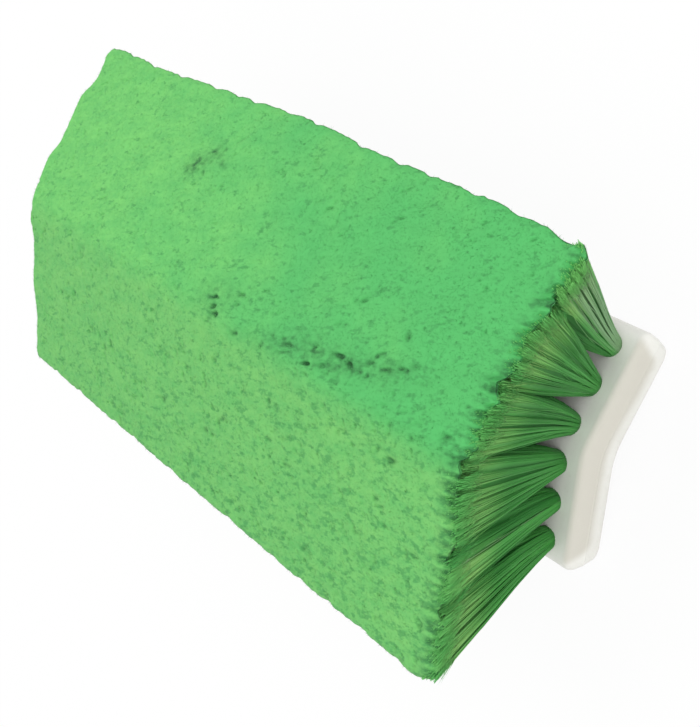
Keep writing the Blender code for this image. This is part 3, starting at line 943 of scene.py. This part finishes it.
def felt_mat(row):
    """A row's mat as (points, triangles, rise, tone): a grid of the face, a skirt that turns in under it, and a
    bottom that joins the skirt's two long sides. Its rise is low, which is painted shade, in pits, partings and thin
    spots, where it frays into the worn tips at the near end, and down the skirt."""
    long, wide = FELT_GRID
    p, q = np.meshgrid(np.linspace(0, 1, long), np.linspace(0, 1, wide), indexing="ij")
    x, y, away, worn = felt_places(row, p, q)
    z = felt_height(x, y, away, worn)
    rings = [np.stack([x, y, z], axis=-1).reshape(-1, 3)]
    # Painted shade: the mat is darker in its pits, partings and thin spots, where it frays into the worn tips, and
    # down its skirt.
    frayed = ramp(worn, NEAR_FRAY, 0) * ramp(1.6 * noise(x / 4, y, 1.3 * MM, 31) - 0.2)
    dark = ramp(felt_pits(x, y) / PAINTED_SHADE_DEPTH + spots(x, y, THIN_SPOTS, 0.4) + 0.6 * frayed)
    rise = [1 - dark.ravel()]
    number = np.arange(long * wide).reshape(long, wide)
    border = np.concatenate([number[:-1, 0], number[-1, :-1], number[:0:-1, -1], number[0, :0:-1]])
    faces = [grid_triangles(long, wide)]
    around, start, last = len(border), long * wide, np.append(border, border[0])
    p, q, top = p.ravel()[border], q.ravel()[border], z.ravel()[border]
    for inset, drop in SKIRT:
        x, y, _, _ = felt_places(row, p, q, inset)
        rings.append(np.stack([x, y, top - drop], axis=-1))
        rise.append(np.full(around, 1 - drop / SKIRT_PAINTED_SHADE_DROP))
        here = start + np.arange(around + 1) % around
        faces.append(band(last, here))
        last, start = here, start + around
    faces.append(band(last[:long], last[long + wide - 2 :][:long][::-1]))
    for end in (last[long - 1 : long + wide - 1], last[2 * long + wide - 3 :]):
        faces.append(np.stack([np.full(wide - 2, end[0]), end[2:], end[1:-1]], axis=-1))
    faces, rise = np.concatenate(faces), np.concatenate(rise)
    return np.concatenate(rings), faces if SIDES[row] > 0 else faces[:, ::-1], rise, 0 * rise


def creased(felt, row):
    """Marks the mat's borders with its neighbours as sharp, so that its face is shaded as one with theirs."""
    long, wide = FELT_GRID
    shared = np.zeros(len(felt.vertices), bool)
    face = shared[: long * wide].reshape(long, wide)
    face[:, 0] = True
    face[:, -1] = RANKS[row] < 2
    ends = np.empty(2 * len(felt.edges), np.int32)
    felt.edges.foreach_get("vertices", ends)
    sharp = felt.attributes.new("sharp_edge", "BOOLEAN", "EDGE")
    sharp.data.foreach_set("value", shared[ends.reshape(-1, 2)].all(axis=1))


def hairs(foot, tip, radius, rise, tone):
    """Closed thin spikes: a small triangle round each foot, level with the ground, and a point at each tip. The
    rise is that of the feet. Returns points, triangles, rise and tone."""
    turn = np.arange(3) * 2 * np.pi / 3
    around = np.stack([np.cos(turn), np.sin(turn), 0 * turn], axis=-1) * radius
    points = np.concatenate([foot[:, None] + around[None], tip[:, None]], axis=1)
    one = np.array([(0, 1, 3), (1, 2, 3), (2, 0, 3), (0, 2, 1)])
    faces = one[None] + 4 * np.arange(len(foot))[:, None, None]
    return points.reshape(-1, 3), faces.reshape(-1, 3), np.tile([rise, rise, rise, 1], len(foot)), np.repeat(tone, 4)


def nap(row, chance):
    """The loose hairs on a row's mat. They lie over at a low angle the way the mat is combed, give or take."""
    count = NAP_COUNT
    x, y, away, worn = felt_places(row, chance.random(count), chance.random(count))
    foot = np.stack([x, y, felt_height(x, y, away, worn) - NAP_SINK], axis=-1)
    turn = COMB + NAP_WANDER * (noise(x, y, NAP_BEND, 5) - 0.5) + chance.normal(0, NAP_SPREAD, count)
    turn += np.where(chance.random(count) < 0.5, 0, np.pi)
    tilt = chance.uniform(*NAP_TILTS, count)
    length = chance.uniform(*NAP_LENGTHS, count)
    level = length * np.cos(tilt)
    step_x, step_y = level * np.cos(turn), level * np.sin(turn)
    lift = length * np.sin(tilt) - SIDES[row] * step_y * TAN
    tip = foot + np.stack([step_x, step_y, lift], axis=-1)
    return hairs(foot, tip, NAP_RADIUS, NAP_RISE, NAP_TONE * chance.normal(0, 1, count))


def flags(tuft, path, tone, chance):
    """The split end of each fibre: a few hairs that spread from a little below its tip, but hardly outwards at
    a side."""
    low, high = path[:, -2], path[:, -1]
    reach = np.linalg.norm(high - low, axis=1, keepdims=True)
    share = chance.uniform(0.5, 1.2, (len(path), 1)) * FLAG_LENGTH / reach
    foot = np.repeat(high + (low - high) * share, FLAG_HAIRS, axis=0)
    high = np.repeat(high, FLAG_HAIRS, axis=0)
    tip = high + chance.normal(0, 1, high.shape) * FLAG_SPREAD * np.array([1, 1, 0.8])
    if tuft.rank == 2:
        tip[:, 1] = tuft.side * np.minimum(tuft.side * tip[:, 1], tuft.side * high[:, 1] + FLAG_OUTWARD)
    tip[:, 2] = np.minimum(tip[:, 2], trim_height(tip[:, 1]))
    return hairs(foot, tip, FLAG_RADIUS, SPLIT_RISE, np.repeat(tone, FLAG_HAIRS))


def split_ends():
    """Split fibre ends: a bright, dry green, softly mottled, and darker where the rise is low, which is painted
    shade. Dark specks crowd on the wing at -Y and towards the near end. It is paler towards the far end, partly
    faded and partly painted warm light, and yellowed on the wing at -Y."""
    finish = Finish("split green ends", IOR=1.45)
    rise, tone = finish.attribute("rise"), finish.attribute("tone")
    place = finish.places()
    x, y, _ = finish.apart(place)
    mottle = finish.noise(finish.places(1.7, COMB), 1.8 * MM, 4.0, 0.65)
    streak = finish.noise(finish.places(3, COMB), 5 * MM)
    crowd = finish.noise(place, 11 * MM) * 0.2 + x * 0.2 - y * 0.55
    speck = (finish.noise(finish.places(1.8, COMB), 2.3 * MM, 2.0, 0.7) + crowd).between(0.62, 0.82)
    patch = finish.noise(place, 26 * MM)
    # Paler and warmer towards the far end: partly fading, partly painted warm light.
    tint_and_painted_light = (0.5 - x * (0.5 / FELT_HALF_LENGTH) + (patch - 0.5) * 0.8).between(0.1, 0.9)
    yellow = (patch * 0.3 - y * (1 / YELLOW_REACH) + 0.1).between(0.0, 1.0)
    light = (tone * 0.1 + mottle + streak * 0.8 - 0.35).between(0.0, 1.0)
    # Painted shade: darker where the rise is low, in the mat's pits, partings, thin spots, frayed near border and
    # skirt.
    shallow = rise + (mottle - 0.5) * (1 - rise) * 2.4
    colour = finish.mix(tint_and_painted_light, FELT_FRESH, FELT_FADED_AND_PAINTED_WARM)
    colour = finish.mix(yellow, colour, FELT_YELLOW)
    colour = finish.mix(light * 0.7 + 0.3, FELT_SHADE, colour)
    colour = finish.mix(speck * 0.6, colour, FELT_SPECK)
    colour = finish.mix(shallow.between(0.2, 1.0), FELT_PAINTED_SHADE, colour)
    finish.feed("Base Color", colour)
    finish.feed("Roughness", 0.75 - mottle * 0.1)
    return finish.material


def gathered(name, parts, material):
    """One piece from several (points, triangles, rise, tone)."""
    rise, tone = (np.concatenate([part[k] for part in parts]) for k in (2, 3))
    return make_piece(name, *joined([part[:2] for part in parts]), material, {"rise": rise, "tone": tone})


# Each row is made in three pieces: its tufts, their split ends, and the felt with its loose hairs.
fibre_finish = green_fibre()
felt_finish = split_ends()
for row in range(len(RANKS)):
    chance = np.random.default_rng(40 + row)
    places = columns_of(row)
    shafts, tips = [], []
    for tuft in [Tuft(row, x, places, chance) for x in places]:
        path, radius, rise, tone = tuft_fibres(tuft, chance)
        if tuft.outer:
            tips.append(flags(tuft, path, tone[:, 0], chance))
        shafts.append(fibres(path, radius, rise, tone, chance.uniform(0, 2 * np.pi, len(path))))
        shafts.append(tuft_core(tuft))
    bristles = gathered(f"tuft_row_{row + 1}_bristles", shafts, fibre_finish)
    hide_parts(f"tuft_row_{row + 1}")
    split = gathered(f"tuft_row_{row + 1}_split_ends", tips, fibre_finish)
    felt = gathered(f"tuft_row_{row + 1}_felt", [felt_mat(row), nap(row, chance)], felt_finish)
    creased(felt.data, row)
    for piece in (bristles, split, felt):
        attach(piece, "root")


# The floor is a plain white sheet. To the camera it is mostly its own light, so that it stays white, and the
# rest of it shows the soft shadow of the brush.
FLOOR_RADIUS = 4.0
FLOOR_GLOW = 0.93
corner = FLOOR_RADIUS * np.array([(-1, -1, 0), (1, -1, 0), (1, 1, 0), (-1, 1, 0)])
paper = Finish("white floor", Roughness=0.9, Base_Color=(0.86, 0.86, 0.86, 1))
glow = paper.node("ShaderNodeEmission", None, {"Color": (1, 1, 1, 1), "Strength": 1.0})
seen, mirrored, through = (
    paper.node("ShaderNodeLightPath", output=f"Is {kind} Ray") for kind in ("Camera", "Glossy", "Transmission")
)
sight = seen + mirrored + through
share = sight.math("MINIMUM", sight, 1.0) * FLOOR_GLOW
principled = Wire(paper.tree, paper.shader.outputs[0])
blend = paper.node("ShaderNodeMixShader", None, {0: share, 1: principled, 2: glow})
paper.tree.links.new(blend.socket, paper.tree.nodes["Material Output"].inputs["Surface"])
floor = make_piece("floor", corner, np.array([(0, 1, 2), (0, 2, 3)]), paper.material)


# The light of a plain studio: an even white room and two wide softboxes. The key hangs above the brush,
# towards its far end and its +Y side, and the fill stands beyond its near end.
WORLD_STRENGTH = 0.92
scene = bpy.context.scene
world = bpy.data.worlds.new("studio")
scene.world = world
world.use_nodes = True
tree = world.node_tree
background = tree.nodes["Background"]
background.inputs["Color"].default_value = (1, 1, 1, 1)
rays = tree.nodes.new("ShaderNodeLightPath")
camera_ray = Wire(tree, rays.outputs["Is Camera Ray"])
plug(tree, background.inputs["Strength"], WORLD_STRENGTH + camera_ray * (1 - WORLD_STRENGTH))


def placed(name, data, place, back, right):
    """A lamp or a camera at a place. Its Z points back along its sight, and its X to the right."""
    holder = bpy.data.objects.new(name, data)
    scene.collection.objects.link(holder)
    back = unit(back)
    right = unit(right - np.dot(right, back) * back)
    stance = Matrix(np.column_stack([right, np.cross(back, right), back]).tolist()).to_4x4()
    stance.translation = place
    holder.matrix_world = stance
    return holder


def softbox(name, place, aim, size, power):
    """A square lamp at a place, turned to shine at an aim."""
    lamp = bpy.data.lights.new(name, "AREA")
    lamp.size = size
    lamp.energy = power
    back = np.subtract(place, aim)
    placed(name, lamp, place, back, np.cross((0.0, 1.0, 0.1), back))


softbox("key", (-0.3, 0.25, 1.05), (0, 0, 0.05), 0.7, 2.7)
softbox("fill", (0.78, 0.1, 0.55), (0.12, 0, 0.03), 0.8, 2.8)


# The camera stands at the near end, above the brush and to its +Y side, and is rolled almost a quarter turn,
# so that the block's height runs across the picture.
CAMERA_PLACE = (404.6 * MM, 107.7 * MM, 370.2 * MM)
CAMERA_BACK = (0.7373, 0.2246, 0.6372)
CAMERA_RIGHT = (0.5799, 0.2735, -0.7674)
SENSOR = 36.0
FOCAL_PIXELS, PICTURE_HEIGHT = 1414.5, 727
lens = bpy.data.cameras.new("camera")
lens.sensor_width = SENSOR
lens.lens = FOCAL_PIXELS * SENSOR / PICTURE_HEIGHT
lens.clip_start, lens.clip_end = 0.01, 20
scene.camera = placed("camera", lens, CAMERA_PLACE, CAMERA_BACK, CAMERA_RIGHT)
scene.view_settings.view_transform = "Standard"
